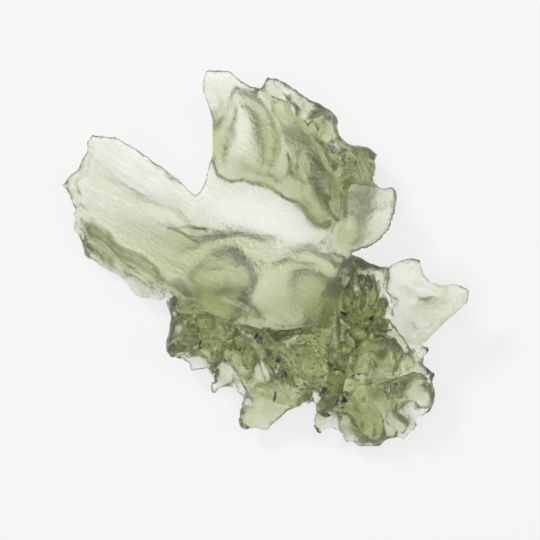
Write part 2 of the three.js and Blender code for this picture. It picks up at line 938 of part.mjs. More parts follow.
// How deep the etched pits go at (x, y): every cell of a grid holds one, and they meet at sharp ridges.
function pitDepth(x, y, { cell, depth }, seed) {
  let least = PIT_SPREAD;
  const column = Math.round(x / cell);
  const row = Math.round(y / cell);
  for (let i = column - 1; i <= column + 1; i++) {
    for (let j = row - 1; j <= row + 1; j++) {
      const strayX = PIT_STRAY * Math.sin(i * 12.9 + j * 78.2 + seed);
      const strayY = PIT_STRAY * Math.sin(i * 39.3 + j * 11.1 + seed);
      least = Math.min(least, Math.hypot(x / cell - i - strayX, y / cell - j - strayY));
    }
  }
  return depth * (1 - (least / PIT_SPREAD) ** 2);
}

// ---------------------------------------------------------------- a leaf's skins

// A triangle of point numbers, with the circle through its corners.
function withCircle(points, corners) {
  const [a, b, c] = corners.map((i) => points[i]);
  const twice = 2 * ((b.x - a.x) * (c.y - a.y) - (b.y - a.y) * (c.x - a.x));
  const ab = (b.x - a.x) ** 2 + (b.y - a.y) ** 2;
  const ac = (c.x - a.x) ** 2 + (c.y - a.y) ** 2;
  const x = ((c.y - a.y) * ab - (b.y - a.y) * ac) / twice;
  const y = ((b.x - a.x) * ac - (c.x - a.x) * ab) / twice;
  return { corners, x: a.x + x, y: a.y + y, reach: x * x + y * y };
}

// Delaunay triangles over the points, grown one point at a time, each counterclockwise.
function triangulate(points) {
  const far = 1e3;
  const count = points.length;
  const outer = [new THREE.Vector2(-far, -far), new THREE.Vector2(far, -far), new THREE.Vector2(0, far)];
  const all = [...points, ...outer];
  let triangles = [withCircle(all, [count, count + 1, count + 2])];
  for (let i = 0; i < count; i++) {
    const open = new Map();
    triangles = triangles.filter(({ corners, x, y, reach }) => {
      if ((all[i].x - x) ** 2 + (all[i].y - y) ** 2 > reach) return true;
      corners.forEach((a, k) => {
        const b = corners[(k + 1) % 3];
        if (!open.delete(`${b} ${a}`)) open.set(`${a} ${b}`, [a, b]);
      });
      return false;
    });
    for (const [a, b] of open.values()) triangles.push(withCircle(all, [a, b, i]));
  }
  return triangles.map(({ corners }) => corners).filter((corners) => corners.every((i) => i < count));
}

// The points of a leaf's skins, seen from above: its rim, its crests, and a honeycomb between them.
function skinPoints(rim, crests, pitch) {
  const points = [...rim];
  const isFree = (x, y, gap) => points.every((p) => Math.hypot(p.x - x, p.y - y) > gap);
  const offer = (x, y, gap) => {
    if (!isInside(x, y, rim) || rimDistance(x, y, rim) <= gap || !isFree(x, y, gap)) return;
    points.push(new THREE.Vector2(x, y));
  };
  for (const { line } of crests) {
    for (let i = 0; i + 1 < line.length; i++) {
      const [a, b] = [line[i], line[i + 1]];
      const count = Math.round(Math.hypot(b[0] - a[0], b[1] - a[1]) / pitch);
      for (let k = 0; k <= count; k++) {
        const t = k / count;
        offer(a[0] + (b[0] - a[0]) * t, a[1] + (b[1] - a[1]) * t, CREST_GAP * pitch);
      }
    }
  }
  const box = new THREE.Box2().setFromPoints(rim);
  const rowStep = pitch * Math.sin(Math.PI / 3);
  for (let row = 0, y = box.min.y; y < box.max.y; row++, y += rowStep) {
    for (let x = box.min.x + (row % 2) * pitch * 0.5; x < box.max.x; x += pitch) {
      const sway = SWAY * pitch * Math.sin(7 * x + 5 * y);
      offer(x + sway, y - sway, FIELD_GAP * pitch);
    }
  }
  return points;
}

// One leaf as a closed geometry: a top skin, a bottom skin and the wall between their borders.
function leaf({ pitch, pits, lip, roll, rim: cusps, core, crests, hollows, calms }) {
  const rim = rimPoints(cusps);
  const points = skinPoints(rim, [...crests.top, ...crests.bottom], pitch);
  const middle = plateThrough([
    ...cusps.map(([x, y, z]) => [x, y, z]),
    ...core.map(([x, y, top, bottom]) => [x, y, (top + bottom) / 2]),
  ]);
  const half = plateThrough([
    ...cusps.map(([x, y, , , own]) => [x, y, own ?? lip]),
    ...core.map(([x, y, top, bottom]) => [x, y, (top - bottom) / 2]),
  ]);
  const bites = flutes(cusps);
  const skins = points.map(({ x, y }, i) => {
    const border = i < rim.length ? 0 : Math.min(1, rimDistance(x, y, rim) / roll);
    const full = Math.sqrt(1 - (1 - border) ** 2);
    const reach = Math.max(EDGE / 2, half(x, y) * full);
    const bare = Math.min(1, ...calms.map(([cx, cy, wide]) => Math.hypot(x - cx, y - cy) / wide));
    const relief = (side, seed) => {
      const pitted = pitDepth(x, y, pits[side], seed) * bare;
      const bowls = hollowDepth(x, y, [...hollows[side], ...bites]);
      return (crestHeight(x, y, crests[side]) - bowls - pitted) * full;
    };
    const top = middle(x, y) + reach + relief("top", 0);
    const bottom = middle(x, y) - reach - relief("bottom", 2);
    const short = Math.max(0, EDGE - (top - bottom)) / 2;
    return { x, y, top: top + short, bottom: bottom - short };
  });
  const position = [
    ...skins.map(({ x, y, top }) => [x, y, top]),
    ...skins.map(({ x, y, bottom }) => [x, y, bottom]),
  ];
  const shift = skins.length;
  const index = [];
  const border = new Map();
  for (const corners of triangulate(points)) {
    const x = corners.reduce((sum, i) => sum + points[i].x, 0) / 3;
    const y = corners.reduce((sum, i) => sum + points[i].y, 0) / 3;
    if (!isInside(x, y, rim)) continue;
    const [a, b, c] = corners;
    index.push(a, b, c, a + shift, c + shift, b + shift);
    corners.forEach((from, k) => {
      const to = corners[(k + 1) % 3];
      if (!border.delete(`${to} ${from}`)) border.set(`${from} ${to}`, [from, to]);
    });
  }
  for (const [a, b] of border.values()) index.push(a, a + shift, b + shift, a, b + shift, b);
  const geometry = new THREE.BufferGeometry();
  geometry.setAttribute("position", new THREE.Float32BufferAttribute(position.flat(), 3));
  geometry.setIndex(index);
  return geometry;
}

function solidOf(geometry) {
  geometry.deleteAttribute("normal");
  geometry.deleteAttribute("uv");
  const merged = mergeVertices(geometry, WELD);
  return new wasm.Manifold(
    new wasm.Mesh({
      numProp: 3,
      vertProperties: merged.attributes.position.array,
      triVerts: new Uint32Array(merged.index.array),
    }),
  );
}

// ---------------------------------------------------------------- the stone

let stone = solidOf(leaf(body));
for (const part of [shell, wing, ledge, flank, petal]) stone = stone.add(solidOf(leaf(part)));

const worn = new THREE.BoxGeometry(WEAR_BLOCK, WEAR_BLOCK, WEAR_BLOCK);
worn.translate(0, 0, -WEAR_BLOCK / 2);
stone = stone.subtract(solidOf(worn));

const mesh = stone.getMesh();
const geometry = new THREE.BufferGeometry();
geometry.setAttribute("position", new THREE.BufferAttribute(mesh.vertProperties, 3));
geometry.setIndex(new THREE.BufferAttribute(mesh.triVerts, 1));
geometry.computeVertexNormals();

const glass = new THREE.MeshStandardMaterial({ color: 0xa9b57c, roughness: 0.18, metalness: 0 });
const moldavite = new THREE.Mesh(geometry, glass);
moldavite.name = "moldavite";

const group = new THREE.Group();
group.add(moldavite);

export default group;
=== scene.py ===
"""A raw moldavite on a pale table, seen from straight above: one lump of etched green natural glass."""

import json
import math

import bpy
import numpy as np
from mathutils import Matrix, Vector

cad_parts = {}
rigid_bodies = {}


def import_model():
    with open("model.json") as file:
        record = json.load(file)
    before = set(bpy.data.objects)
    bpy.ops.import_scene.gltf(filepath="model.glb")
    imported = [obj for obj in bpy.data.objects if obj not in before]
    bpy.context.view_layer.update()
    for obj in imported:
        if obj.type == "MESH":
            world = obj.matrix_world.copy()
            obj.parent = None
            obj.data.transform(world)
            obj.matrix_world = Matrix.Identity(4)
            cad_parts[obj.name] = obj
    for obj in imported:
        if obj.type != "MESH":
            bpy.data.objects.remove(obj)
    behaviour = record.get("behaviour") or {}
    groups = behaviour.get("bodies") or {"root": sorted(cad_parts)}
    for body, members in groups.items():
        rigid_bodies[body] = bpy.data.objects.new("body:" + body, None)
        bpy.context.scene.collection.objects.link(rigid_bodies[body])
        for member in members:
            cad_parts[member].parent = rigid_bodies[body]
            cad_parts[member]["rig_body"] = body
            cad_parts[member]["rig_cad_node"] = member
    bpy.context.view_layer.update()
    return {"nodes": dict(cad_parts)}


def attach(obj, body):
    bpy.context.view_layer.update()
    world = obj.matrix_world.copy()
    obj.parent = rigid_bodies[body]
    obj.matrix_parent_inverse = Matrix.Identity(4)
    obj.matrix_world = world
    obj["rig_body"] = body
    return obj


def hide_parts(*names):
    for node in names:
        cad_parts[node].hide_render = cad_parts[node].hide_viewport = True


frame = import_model()
MM = 0.001

# ---------------------------------------------------------------- the camera

VIEW_WIDTH = 54.0 * MM
VIEW_LEVEL = 8.0 * MM  # the height over the table at which the view is that wide
VIEW_MIDDLE = (0.45 * MM, -0.95 * MM)
LENS, SENSOR = 300.0, 36.0  # millimetres, as the camera takes them


def camera_above():
    """A long lens straight above the stone, with a little table left free all round."""
    data = bpy.data.cameras.new("camera")
    data.lens, data.sensor_width = LENS, SENSOR
    data.clip_start, data.clip_end = 0.01, 10
    camera = bpy.data.objects.new("camera", data)
    camera.location = (*VIEW_MIDDLE, VIEW_WIDTH * LENS / SENSOR + VIEW_LEVEL)
    bpy.context.scene.collection.objects.link(camera)
    bpy.context.scene.camera = camera


camera_above()

# ---------------------------------------------------------------- small tools


def linear(hex_colour):
    """An sRGB hex colour as the linear numbers that a shader socket takes."""
    channels = [int(hex_colour[i : i + 2], 16) / 255 for i in (1, 3, 5)]
    return [c / 12.92 if c <= 0.04045 else ((c + 0.055) / 1.055) ** 2.4 for c in channels] + [1.0]


def node(tree, kind, inputs=None, links=None, **settings):
    """Adds one shader node, with its settings, its socket values and the links into it."""
    made = tree.nodes.new(kind)
    for name, value in settings.items():
        setattr(made, name, value)
    for socket, value in (inputs or {}).items():
        made.inputs[socket].default_value = value
    for socket, source in (links or {}).items():
        tree.links.new(source, made.inputs[socket])
    return made


def select_only(piece):
    bpy.ops.object.select_all(action="DESELECT")
    piece.select_set(True)
    bpy.context.view_layer.objects.active = piece


def apply_modifier(piece, kind, **settings):
    """Adds a modifier to the piece and applies it."""
    select_only(piece)
    modifier = piece.modifiers.new(kind.lower(), kind)
    for name, value in settings.items():
        setattr(modifier, name, value)
    bpy.ops.object.modifier_apply(modifier=modifier.name)


# ---------------------------------------------------------------- the stone's skin, in plan
# All in millimetres, from above.

# The smooth satin leaves: the shell with its left wing, tower, bowl and petal, and the thin right wing.
SHELL = [
    (-20.9, 7.6), (-18.8, 10.4), (-18.2, 13.0), (-14.6, 12.9), (-7.0, 7.6), (-5.9, 9.5), (-7.0, 17.2),
    (-6.2, 19.4), (-3.2, 19.4), (-0.6, 16.9), (3.3, 13.5), (5.4, 10.6), (6.6, 8.0), (8.6, 8.2),
    (13.2, 7.6), (13.4, 6.0), (12.4, 2.8), (9.2, 0.4), (8.2, -0.6), (7.7, -4.4), (6.9, -6.2),
    (2.0, -7.0), (-4.3, -6.0), (-8.4, -4.2), (-11.5, -2.2), (-14.8, -0.3), (-17.8, 2.0), (-19.4, 4.8),
]
RIGHT_WING = [
    (12.7, -0.3), (14.5, 0.6), (16.0, 0.4), (16.2, -1.2), (19.0, -2.0), (20.9, -2.6), (20.7, -4.6),
    (17.6, -7.0), (15.8, -8.6), (14.2, -8.6), (13.2, -7.2), (12.8, -4.0), (12.5, -2.0),
]

# Where the acid bit deeper or less deep than elsewhere: x, y, how far round it that reaches, and how many
# times the usual depth it is there.
BITES = [
    (9.8, -3.0, 2.4, 1.5),
    (3.6, -9.8, 2.8, 1.9),
    (15.4, -14.5, 3.0, 0.7),
    (9.6, -11.4, 2.2, 1.2),
    (-2.8, -8.2, 1.5, 0.2),
    (-0.8, -9.6, 1.9, 0.1),
    (0.2, -11.6, 1.6, 0.1),
    (1.4, -13.2, 1.4, 0.2),
    (-0.6, -15.8, 2.4, 0.2),
    (-5.2, -11.6, 2.0, 0.15),
    (-8.2, -10.2, 1.6, 0.3),
    (-4.4, -8.2, 1.0, 0.4),
    (12.2, -9.6, 1.8, 0.2),
    (9.0, -15.6, 1.8, 0.2),
    (11.6, -15.0, 1.4, 0.3),
]

# Sharp ridges on the upper skin: half of each one's width at its foot, and its points with their heights.
RIDGES = [
    (0.5, [(-7.1, -5.2, 0.2), (-7.3, -6.5, 0.5), (-7.6, -7.8, 0.5), (-8.8, -8.6, 0.3)]),
    (0.45, [(-7.0, -7.2, 0.3), (-5.8, -7.4, 0.4), (-4.4, -7.7, 0.4), (-3.7, -8.2, 0.2)]),
    (0.45, [(-4.2, -6.1, 0.2), (-3.5, -7.4, 0.4), (-2.6, -6.4, 0.2)]),
    (0.5, [(-8.8, -8.8, 0.3), (-6.8, -8.5, 0.5), (-5.1, -8.5, 0.5), (-4.8, -9.7, 0.2)]),
    (0.5, [(-4.8, -10.8, 0.3), (-4.8, -9.9, 0.5), (-4.4, -8.9, 0.5)]),
    (0.5, [(-4.4, -8.9, 0.5), (-3.6, -8.4, 0.5), (-2.6, -8.5, 0.5)]),
    (0.5, [(-3.0, -8.6, 0.4), (-2.8, -9.4, 0.4), (-2.2, -11.0, 0.4), (-1.2, -12.9, 0.3)]),
    (0.5, [(-2.5, -6.5, 0.3), (-1.2, -7.2, 0.3), (-0.1, -8.1, 0.3), (0.8, -9.1, 0.4), (1.6, -10.2, 0.4)]),
    (0.5, [(1.6, -10.2, 0.4), (2.2, -11.4, 0.4), (2.9, -12.4, 0.4), (3.8, -13.4, 0.3), (4.6, -14.2, 0.3)]),
    (0.45, [(0.4, -7.2, 0.3), (1.3, -7.9, 0.4), (1.9, -9.0, 0.5), (2.4, -10.4, 0.3)]),
    (0.6, [(-1.6, -13.6, 0.2), (-0.8, -13.0, 0.3), (0.6, -13.4, 0.3)]),
    (0.6, [(0.6, -13.4, 0.3), (1.9, -13.8, 0.3), (3.2, -14.2, 0.3)]),
    (0.55, [(6.9, -6.2, 0.3), (7.0, -8.4, 0.5), (7.3, -10.0, 0.6), (7.0, -12.0, 0.6), (6.3, -14.0, 0.6)]),
    (0.5, [(6.3, -14.0, 0.6), (5.7, -16.0, 0.5), (5.3, -17.2, 0.2)]),
    (0.5, [(7.4, -9.0, 0.4), (8.4, -8.0, 0.6), (9.7, -6.8, 0.6), (10.7, -6.2, 0.6), (12.0, -6.3, 0.4)]),
    (0.45, [(12.0, -6.3, 0.4), (12.6, -7.2, 0.5), (13.3, -8.0, 0.4), (14.0, -9.0, 0.3)]),
    (0.45, [(7.4, -11.5, 0.4), (8.4, -10.2, 0.6), (8.7, -9.0, 0.5), (10.0, -8.5, 0.5), (10.7, -8.7, 0.3)]),
    (0.5, [(11.0, -13.4, 0.4), (11.7, -12.8, 0.5), (13.0, -12.8, 0.5), (13.8, -12.2, 0.5)]),
    (0.45, [(13.8, -12.2, 0.5), (14.5, -11.8, 0.4), (16.4, -12.0, 0.2)]),
    (0.5, [(6.0, -15.0, 0.3), (6.8, -14.0, 0.5), (7.7, -13.9, 0.5), (8.7, -14.5, 0.5), (9.3, -15.2, 0.3)]),
    (0.45, [(12.6, -14.4, 0.3), (13.0, -15.5, 0.4), (14.0, -16.4, 0.4), (13.8, -17.2, 0.2)]),
    (0.4, [(3.2, -8.9, 0.3), (4.4, -9.1, 0.4), (5.4, -9.6, 0.3)]),
    (0.4, [(2.4, -11.7, 0.3), (3.8, -11.4, 0.4), (5.4, -12.1, 0.3)]),
    (0.4, [(4.8, -8.5, 0.3), (5.6, -9.0, 0.4), (6.4, -9.8, 0.2)]),
    (0.4, [(14.9, -10.3, 0.2), (15.9, -9.0, 0.4)]),
    (0.4, [(15.0, -10.0, 0.2), (16.6, -11.9, 0.4)]),
    (0.5, [(14.8, -4.6, 0.1), (15.5, -4.3, 0.15), (17.0, -4.0, 0.15), (17.8, -3.2, 0.1)]),
    (0.5, [(14.7, -7.9, 0.1), (15.9, -7.7, 0.15), (17.2, -6.4, 0.15), (18.8, -4.9, 0.1)]),
    (0.35, [(-9.6, 3.1, 0.1), (-8.2, 2.4, 0.2), (-7.0, 1.6, 0.1)]),
    (0.35, [(-8.3, 3.1, 0.1), (-6.1, 2.9, 0.2)]),
    (0.35, [(2.4, 10.5, 0.1), (3.0, 9.2, 0.25), (3.8, 8.0, 0.1)]),
    (0.4, [(-4.4, -4.1, 0.1), (-2.6, -4.6, 0.2), (-1.0, -5.4, 0.2), (-0.3, -6.0, 0.1)]),
]

# Rounded swellings of the upper skin between the flutes, the same way.
SWELLS = [
    (1.5, [(-3.0, -7.6, 0.1), (-1.4, -9.6, 0.15), (0.2, -11.8, 0.15), (1.6, -13.6, 0.2)]),
    (1.6, [(3.4, -8.8, 0.4), (3.9, -10.4, 0.5), (4.2, -12.4, 0.4)]),
    (1.1, [(-5.6, -9.4, 0.3), (-5.2, -11.0, 0.6), (-5.6, -12.8, 0.4)]),
    (1.7, [(12.0, -8.6, 0.5), (12.6, -10.0, 0.8), (12.4, -11.2, 0.4)]),
    (1.0, [(7.6, -14.6, 0.3), (8.2, -16.2, 0.6), (8.6, -17.6, 0.4)]),
    (1.0, [(10.2, -14.4, 0.3), (10.8, -16.2, 0.6), (11.2, -18.0, 0.4)]),
    (1.1, [(-8.8, -6.4, 0.3), (-9.0, -8.0, 0.5), (-9.4, -9.2, 0.4)]),
    (1.2, [(-1.6, -14.6, 0.4), (-1.8, -16.4, 0.5)]),
]

# Grooves with steep sides, the same way.
GROOVES = [
    (0.4, [(-9.0, -5.5, 0.3), (-7.6, -5.6, 0.5), (-6.6, -5.3, 0.4), (-4.4, -6.1, 0.4)]),
    (0.45, [(-8.6, -9.3, 0.3), (-6.8, -9.0, 0.5), (-5.5, -9.0, 0.5)]),
    (0.45, [(-4.2, -10.6, 0.3), (-4.2, -9.8, 0.5), (-3.8, -9.0, 0.5), (-3.1, -8.9, 0.5), (-2.7, -9.6, 0.5)]),
    (0.5, [(0.0, -7.0, 0.3), (1.2, -7.9, 0.4), (2.1, -9.0, 0.5), (2.8, -10.2, 0.5), (3.4, -11.6, 0.4)]),
    (0.6, [(-1.2, -14.2, 0.2), (0.5, -14.4, 0.2), (2.2, -14.8, 0.2)]),
    (0.35, [(1.7, -7.0, 0.4), (2.7, -7.2, 0.5), (3.5, -6.9, 0.4), (5.3, -6.9, 0.4)]),
    (0.35, [(2.9, -7.6, 0.3), (5.5, -7.6, 0.4)]),
    (0.35, [(3.1, -10.4, 0.3), (4.3, -10.4, 0.6), (5.4, -10.7, 0.3)]),
    (0.3, [(2.6, -8.4, 0.3), (3.8, -8.3, 0.5), (5.2, -8.9, 0.3)]),
    (0.3, [(2.4, -9.6, 0.3), (3.4, -9.7, 0.5), (4.9, -9.4, 0.3)]),
    (0.35, [(2.9, -11.1, 0.3), (4.4, -11.9, 0.5), (5.6, -11.5, 0.3)]),
    (0.3, [(2.2, -12.9, 0.3), (3.9, -12.8, 0.4), (5.2, -13.4, 0.3)]),
    (0.45, [(8.0, -1.2, 0.4), (8.1, -3.0, 0.8), (8.0, -4.6, 0.8), (7.9, -6.4, 0.5)]),
    (0.4, [(9.6, -1.2, 0.3), (9.9, -3.0, 0.5), (9.4, -5.0, 0.5)]),
    (0.4, [(11.2, -1.4, 0.3), (11.3, -3.2, 0.5), (10.8, -4.8, 0.4)]),
    (0.35, [(6.5, -6.6, 0.3), (6.4, -8.4, 0.4), (6.6, -10.2, 0.4), (6.3, -12.4, 0.4), (5.5, -14.6, 0.3)]),
    (0.35, [(7.6, -7.0, 0.3), (7.7, -8.2, 0.4), (9.0, -6.6, 0.4), (10.4, -5.6, 0.4), (12.2, -5.6, 0.3)]),
    (0.4, [(1.7, 16.4, 0.3), (3.5, 14.6, 0.5), (5.5, 13.2, 0.5), (7.0, 11.0, 0.5), (8.4, 9.8, 0.4)]),
    (0.35, [(7.2, 10.3, 0.3), (8.4, 9.7, 0.4)]),
    (0.35, [(15.2, -15.0, 0.3), (16.4, -15.2, 0.2)]),
]

# Folds of the underside, the same way. They show through the thin shell as soft dark bands.
FOLDS = [
    (1.4, [(-9.8, -8.4, 0.6), (-8.6, -9.8, 0.6)]),
    (1.3, [(-6.2, -11.4, 0.5), (-5.8, -12.8, 0.5)]),
    (1.6, [(-2.6, -15.2, 0.6), (-2.2, -16.8, 0.6)]),
    (1.3, [(14.8, -12.4, 0.4), (16.2, -13.6, 0.4), (16.0, -15.4, 0.2)]),
    (2.4, [(4.2, -2.4, 0.7), (6.0, -3.6, 0.7)]),
    (2.2, [(8.8, -1.4, 1.1), (9.6, -4.4, 1.5)]),
    (2.0, [(-6.4, -1.4, 0.6), (-4.8, -1.8, 0.8), (-3.4, -1.2, 0.7)]),
    (0.7, [(-2.9, 16.8, 0.4), (-3.2, 15.6, 0.5), (-3.5, 14.3, 0.5), (-4.1, 13.0, 0.5), (-4.6, 11.8, 0.4)]),
    (0.8, [(-4.4, 12.0, 0.4), (-4.6, 10.1, 0.5), (-4.3, 8.9, 0.5), (-3.4, 8.4, 0.5), (-2.1, 8.8, 0.5)]),
    (0.8, [(-2.1, 8.8, 0.5), (-1.2, 8.4, 0.5), (0.2, 8.4, 0.5), (1.3, 7.5, 0.5), (2.4, 6.6, 0.4)]),
    (1.0, [(-2.5, 16.6, 0.2), (-1.2, 15.8, 0.4), (-0.2, 14.9, 0.5), (0.4, 13.7, 0.5), (0.8, 12.0, 0.5)]),
    (0.9, [(0.8, 12.0, 0.5), (0.5, 10.6, 0.3)]),
    (0.7, [(4.0, 10.9, 0.3), (3.4, 9.2, 0.5), (2.4, 8.3, 0.3)]),
    (0.9, [(-9.2, 5.6, 0.1), (-8.6, 4.0, 0.2), (-7.2, 2.4, 0.2), (-5.6, 1.8, 0.1)]),
    (0.8, [(7.8, 7.5, 0.4), (7.6, 5.4, 0.5), (7.1, 3.1, 0.5), (6.1, 1.4, 0.4)]),
    (0.8, [(12.6, 7.2, 0.3), (12.9, 5.6, 0.4), (12.4, 3.8, 0.4), (11.0, 2.2, 0.4), (9.2, 1.2, 0.3)]),
    (0.9, [(0.2, 18.4, 0.4), (1.6, 17.2, 0.6), (3.2, 16.2, 0.4), (4.8, 15.2, 0.4), (6.6, 12.4, 0.3)]),
    (0.8, [(9.4, 10.8, 0.3), (10.4, 10.2, 0.4), (10.9, 9.0, 0.4)]),
    (1.1, [(-6.6, -2.6, 0.2), (-4.6, -3.4, 0.5), (-2.6, -3.2, 0.4)]),
    (0.9, [(-3.4, 0.2, 0.2), (-2.2, -1.0, 0.5), (-1.4, -2.6, 0.3)]),
    (0.8, [(0.6, -1.2, 0.2), (2.4, -0.6, 0.4), (4.6, -1.0, 0.4), (6.4, -0.4, 0.3)]),
    (0.8, [(-4.6, -10.8, 0.5), (-4.3, -9.6, 0.6), (-3.5, -9.0, 0.7), (-2.7, -9.5, 0.6)]),
    (0.8, [(-2.7, -9.5, 0.6), (-2.3, -10.9, 0.5), (-1.7, -12.4, 0.4)]),
    (0.9, [(1.2, -7.6, 0.5), (2.0, -9.4, 0.7), (2.7, -11.2, 0.6), (4.2, -13.2, 0.4)]),
    (0.9, [(1.6, -7.6, 0.5), (3.4, -7.9, 0.7), (5.6, -7.7, 0.6)]),
    (0.8, [(4.4, -9.6, 0.5), (5.0, -10.8, 0.6), (5.4, -12.6, 0.4)]),
]

# Dips of the underside, the same way, where the glass is thinner and paler.
DIPS = [
    (2.2, [(-2.4, -7.6, 0.9), (-1.0, -9.4, 1.6), (0.3, -11.2, 1.4), (1.0, -12.4, 0.7)]),
    (1.8, [(15.2, -2.2, 0.2), (17.0, -3.6, 0.25), (18.6, -3.6, 0.2)]),
    (1.6, [(12.2, -9.2, 0.9), (12.4, -10.6, 0.9)]),
    (1.4, [(4.6, 7.4, 0.4), (5.6, 5.4, 0.4)]),
    (1.2, [(8.2, -15.4, 0.5), (8.8, -17.0, 0.5)]),
    (1.2, [(11.4, -14.6, 0.5), (12.4, -16.6, 0.5)]),
    (1.4, [(7.8, 10.6, 0.8), (9.4, 9.4, 0.8)]),
]

# Pits with steep sides: x, y, half widths, depth.
PITS = [
    (7.8, -9.5, 0.5, 0.5, 0.6),
    (9.7, -9.6, 1.0, 0.6, 0.9),
    (9.5, -11.9, 1.1, 0.6, 0.9),
    (8.1, -12.7, 1.1, 0.8, 0.9),
    (3.2, -12.3, 1.4, 0.8, 0.5),
    (3.0, -12.5, 0.4, 0.4, 0.4),
    (13.7, -10.3, 0.5, 0.9, 0.7),
    (7.9, -6.4, 0.6, 0.6, 0.6),
    (7.9, 9.3, 0.7, 0.4, 0.4),
    (8.1, 7.3, 0.7, 0.7, 0.6),
    (11.2, -16.2, 0.4, 0.4, 0.4),
    (-15.0, 6.5, 0.4, 0.3, 0.2),
    (4.9, -8.2, 0.8, 0.5, 0.5),
    (-8.2, -6.9, 0.7, 1.0, 0.5),
]


def beside(x, y, ax, ay, bx, by):
    """How far along the stretch from a to b each point lies, from 0 to 1, and how far off it."""
    run, rise = bx - ax, by - ay
    along = np.clip(((x - ax) * run + (y - ay) * rise) / (run**2 + rise**2), 0, 1)
    return along, np.hypot(x - ax - run * along, y - ay - rise * along)


def inside(x, y, outline):
    """How far inside the outline each point lies, in plan, and less than nothing outside it."""
    least = np.full(len(x), np.inf)
    odd = np.zeros(len(x), dtype=bool)
    for (ax, ay), (bx, by) in zip(outline, outline[1:] + outline[:1]):
        least = np.minimum(least, beside(x, y, ax, ay, bx, by)[1])
        if ay != by:
            odd ^= ((ay > y) != (by > y)) & (x < ax + (y - ay) / (by - ay) * (bx - ax))
    return np.where(odd, least, -least)


def smooth_step(value, low, high):
    """0 up to low, 1 from high on, and a smooth rise between them."""
    t = np.clip((value - low) / (high - low), 0, 1)
    return t * t * (3 - 2 * t)


def sharp(off):
    """The section of a sharp line: straight sides and a narrow flat top."""
    return np.clip((1 - off) * 1.3, 0, 1)


def rounded(off):
    """The section of a rounded line."""
    return 0.5 + 0.5 * np.cos(np.pi * np.clip(off, 0, 1))


def lines_height(x, y, lines, section=sharp):
    """How high a set of lines stands over each point, in plan."""
    height = np.zeros(len(x))
    for half_width, line in lines:
        for (ax, ay, ah), (bx, by, bh) in zip(line, line[1:]):
            along, off = beside(x, y, ax, ay, bx, by)
            height = np.maximum(height, (ah + (bh - ah) * along) * section(off / half_width))
    return height


def pits_depth(x, y):
    """How deep the pits reach below each point, in plan."""
    depth = np.zeros(len(x))
    for middle_x, middle_y, half_x, half_y, deep in PITS:
        off = np.hypot((x - middle_x) / half_x, (y - middle_y) / half_y)
        depth = np.maximum(depth, deep * np.clip(1 - off, 0, 1))
    return depth


# ---------------------------------------------------------------- the stone

WELD = 0.002 * MM  # points closer than this are one point
SHARP_EDGE = 62  # degrees between two flat faces, from which the edge stays crisp
CRISPNESS = 0.75
GRID = 0.19 * MM  # the fineness of the stone's mesh, which keeps it under 200,000 triangles


def drop_crumbs(stone):
    """Deletes what remeshing leaves loose, which is all that isn't joined to the stone's highest point."""
    select_only(stone)
    bpy.ops.object.mode_set(mode="EDIT")
    bpy.ops.mesh.select_mode(type="VERT")
    bpy.ops.mesh.select_all(action="DESELECT")
    bpy.ops.object.mode_set(mode="OBJECT")
    highest = max(stone.data.vertices, key=lambda point: point.co.z)
    highest.select = True
    bpy.ops.object.mode_set(mode="EDIT")
    bpy.ops.mesh.select_linked()
    bpy.ops.mesh.select_all(action="INVERT")
    bpy.ops.mesh.delete(type="VERT")
    bpy.ops.object.mode_set(mode="OBJECT")


def stone_from_solid(solid):
    """A fine mesh of the stone: the CAD solid's own skin, welded, remeshed and eased off its flat faces."""
    stone = solid.copy()
    stone.data = solid.data.copy()
    stone.name = stone.data.name = "etched_glass"
    for key in ("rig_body", "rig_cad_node"):  # the CAD node's own marks, which a new piece doesn't carry
        if key in stone:
            del stone[key]
    stone.parent = None
    bpy.context.scene.collection.objects.link(stone)
    select_only(stone)
    bpy.ops.object.mode_set(mode="EDIT")
    bpy.ops.mesh.select_all(action="SELECT")
    bpy.ops.mesh.remove_doubles(threshold=WELD)
    bpy.ops.mesh.select_mode(type="EDGE")
    bpy.ops.mesh.select_all(action="DESELECT")
    bpy.ops.mesh.edges_select_sharp(sharpness=math.radians(SHARP_EDGE))
    bpy.ops.transform.edge_crease(value=CRISPNESS)
    bpy.ops.object.mode_set(mode="OBJECT")
    apply_modifier(stone, "SUBSURF", levels=2, render_levels=2)
    apply_modifier(stone, "REMESH", mode="VOXEL", voxel_size=GRID, adaptivity=0.0)
    apply_modifier(stone, "SMOOTH", factor=0.5, iterations=3)
    drop_crumbs(stone)
    return stone


def skin_of(stone):
    """The places of the stone's points, in millimetres, and how far each faces up."""
    mesh = stone.data
    places = np.empty(len(mesh.vertices) * 3)
    mesh.vertices.foreach_get("co", places)
    facing = np.empty(len(mesh.vertices) * 3)
    mesh.vertex_normals.foreach_get("vector", facing)
    return places.reshape(-1, 3) / MM, facing.reshape(-1, 3)


def add_attribute(stone, name, values):
    """Writes one number for each point of the stone, for the glass to read."""
    attribute = stone.data.attributes.new(name, "FLOAT", "POINT")
    attribute.data.foreach_set("value", values)


# How deeply the acid bit, as shares of the full depth.
BODY_DEPTH = 0.65  # outside the satin leaves
RIM_SHARE, RIM_END = 0.6, -9.5  # of that, on the rim under the left wing, which ends at this x
FRINGE_DEPTH = 0.45  # along the shell's own rim, fading out from x = 0 to x = 6
BELOW_LEAST, BELOW_SHARE = 0.05, 0.5  # on the underside: everywhere, and of the depth above it
STEPS = 20  # the depth is written in this many steps

FAINT_FLOW = 0.15  # how clearly the flow lines show on the satin leaves, but for the left wing


